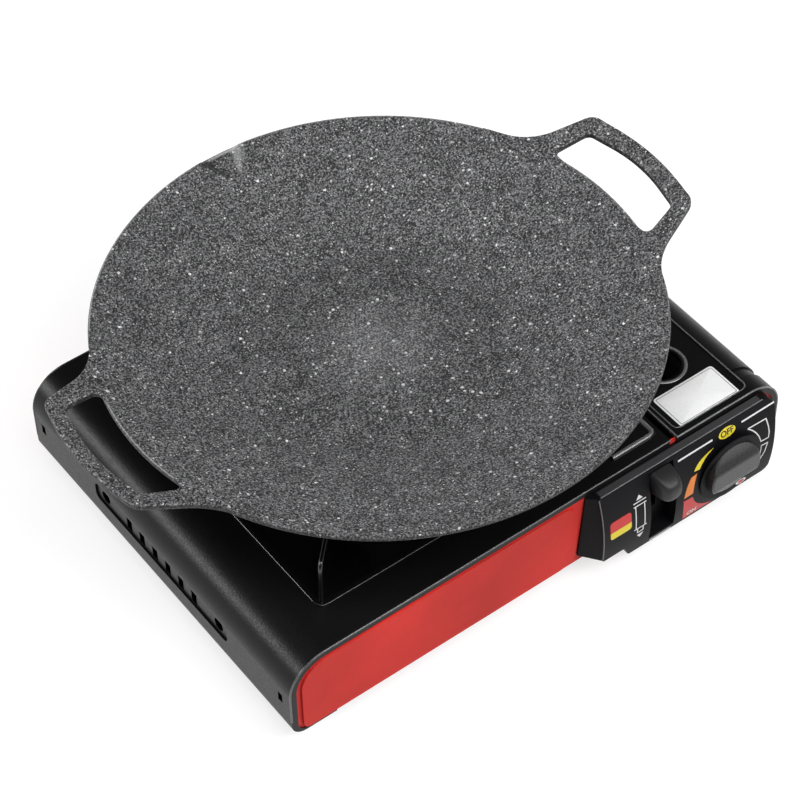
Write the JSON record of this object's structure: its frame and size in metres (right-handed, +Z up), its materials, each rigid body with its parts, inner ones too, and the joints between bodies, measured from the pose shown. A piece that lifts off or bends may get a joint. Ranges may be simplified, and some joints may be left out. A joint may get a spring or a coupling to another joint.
{
  "type": "portable gas stove",
  "caption": "Flat portable gas stove with a hinged cartridge lid, lock lever and flame knob at the right, a lift-off pan support and a round griddle plate with loop handles.",
  "frame": {"origin": "on the surface that the four feet stand on, below the middle of the stove's body", "axes": "+X along the front towards the cartridge lid, +Y towards the back, +Z up"},
  "size_m": [0.3998, 0.328, 0.1474],
  "materials": {
    "black_paint": "satin black paint on pressed steel",
    "red_paint": "satin red paint on pressed steel",
    "black_enamel": "gloss black enamel on pressed steel",
    "stone_coating": "speckled non-stick coating on cast aluminium",
    "black_plastic": "moulded, fine grain",
    "steel": "plain",
    "zinc_sheet": "zinc-plated sheet",
    "cast_alloy": "as cast",
    "brass": "turned",
    "rubber": "matt",
    "lead_sleeve": "silicone sleeve",
    "ceramic": "glazed"
  },
  "bodies": {
    "stove": {"upper_shell": "black_paint", "front_panel": "red_paint", "rear_panel": "red_paint", "base_tray": "red_paint", "cartridge_cradle": "black_paint", "rubber_feet": "rubber", "inlet_seal": "rubber", "ignition_lead": "lead_sleeve", "foot_screws": "steel", "hinge_pins": "steel", "partition": "zinc_sheet", "control_fascia": "black_plastic", "lever_brackets": "zinc_sheet", "regulator_bracket": "zinc_sheet", "regulator_body": "cast_alloy", "regulator_cover": "cast_alloy", "cover_screws": "steel", "clamp_rods": "steel", "jet_nozzle": "brass", "mixing_tube": "steel", "burner_bowl": "cast_alloy", "burner_head": "cast_alloy", "burner_bracket": "zinc_sheet", "bracket_screws": "steel", "electrode_clip": "zinc_sheet", "igniter_insulator": "ceramic", "electrode": "steel", "piezo_igniter": "black_plastic"},
    "lid": {"cartridge_lid": "black_paint"},
    "knob": {"control_knob": "black_plastic", "valve_stem": "steel"},
    "lock_lever": {"lever_button": "black_plastic", "lever_arm": "steel", "lever_shaft": "steel"},
    "clamp": {"cartridge_clamp": "zinc_sheet"},
    "support": {"pan_support": "black_enamel"},
    "griddle": {"griddle_plate": "stone_coating"}
  },
  "joints": [
    {"name": "lid_hinge", "type": "hinge", "parent": "stove", "child": "lid", "pos_m": [0.1756, 0, 0.019], "axis": [0, 1, 0], "range_deg": [0, 95]},
    {"name": "knob_turn", "type": "hinge", "parent": "stove", "child": "knob", "pos_m": [0.1285, -0.1444, 0.035], "axis": [0, -1, 0], "range_deg": [0, 130]},
    {"name": "lever_lock", "type": "hinge", "parent": "stove", "child": "lock_lever", "pos_m": [0.078, -0.092, 0.044], "axis": [1, 0, 0], "range_deg": [0, 27]},
    {"name": "clamp_slide", "type": "slide", "parent": "stove", "child": "clamp", "axis": [0, -1, 0], "range_m": [0, 0.0065]},
    {"name": "support_lift", "type": "slide", "parent": "stove", "child": "support", "axis": [0, 0, 1], "range_m": [0, 0.06]},
    {"name": "griddle_lift", "type": "slide", "parent": "support", "child": "griddle", "axis": [0, 0, 1], "range_m": [0, 0.15]}
  ],
  "couplings": [
    {"joint": "clamp_slide", "follows": "lever_lock", "m_per_rad": 0.013793}
  ]
}
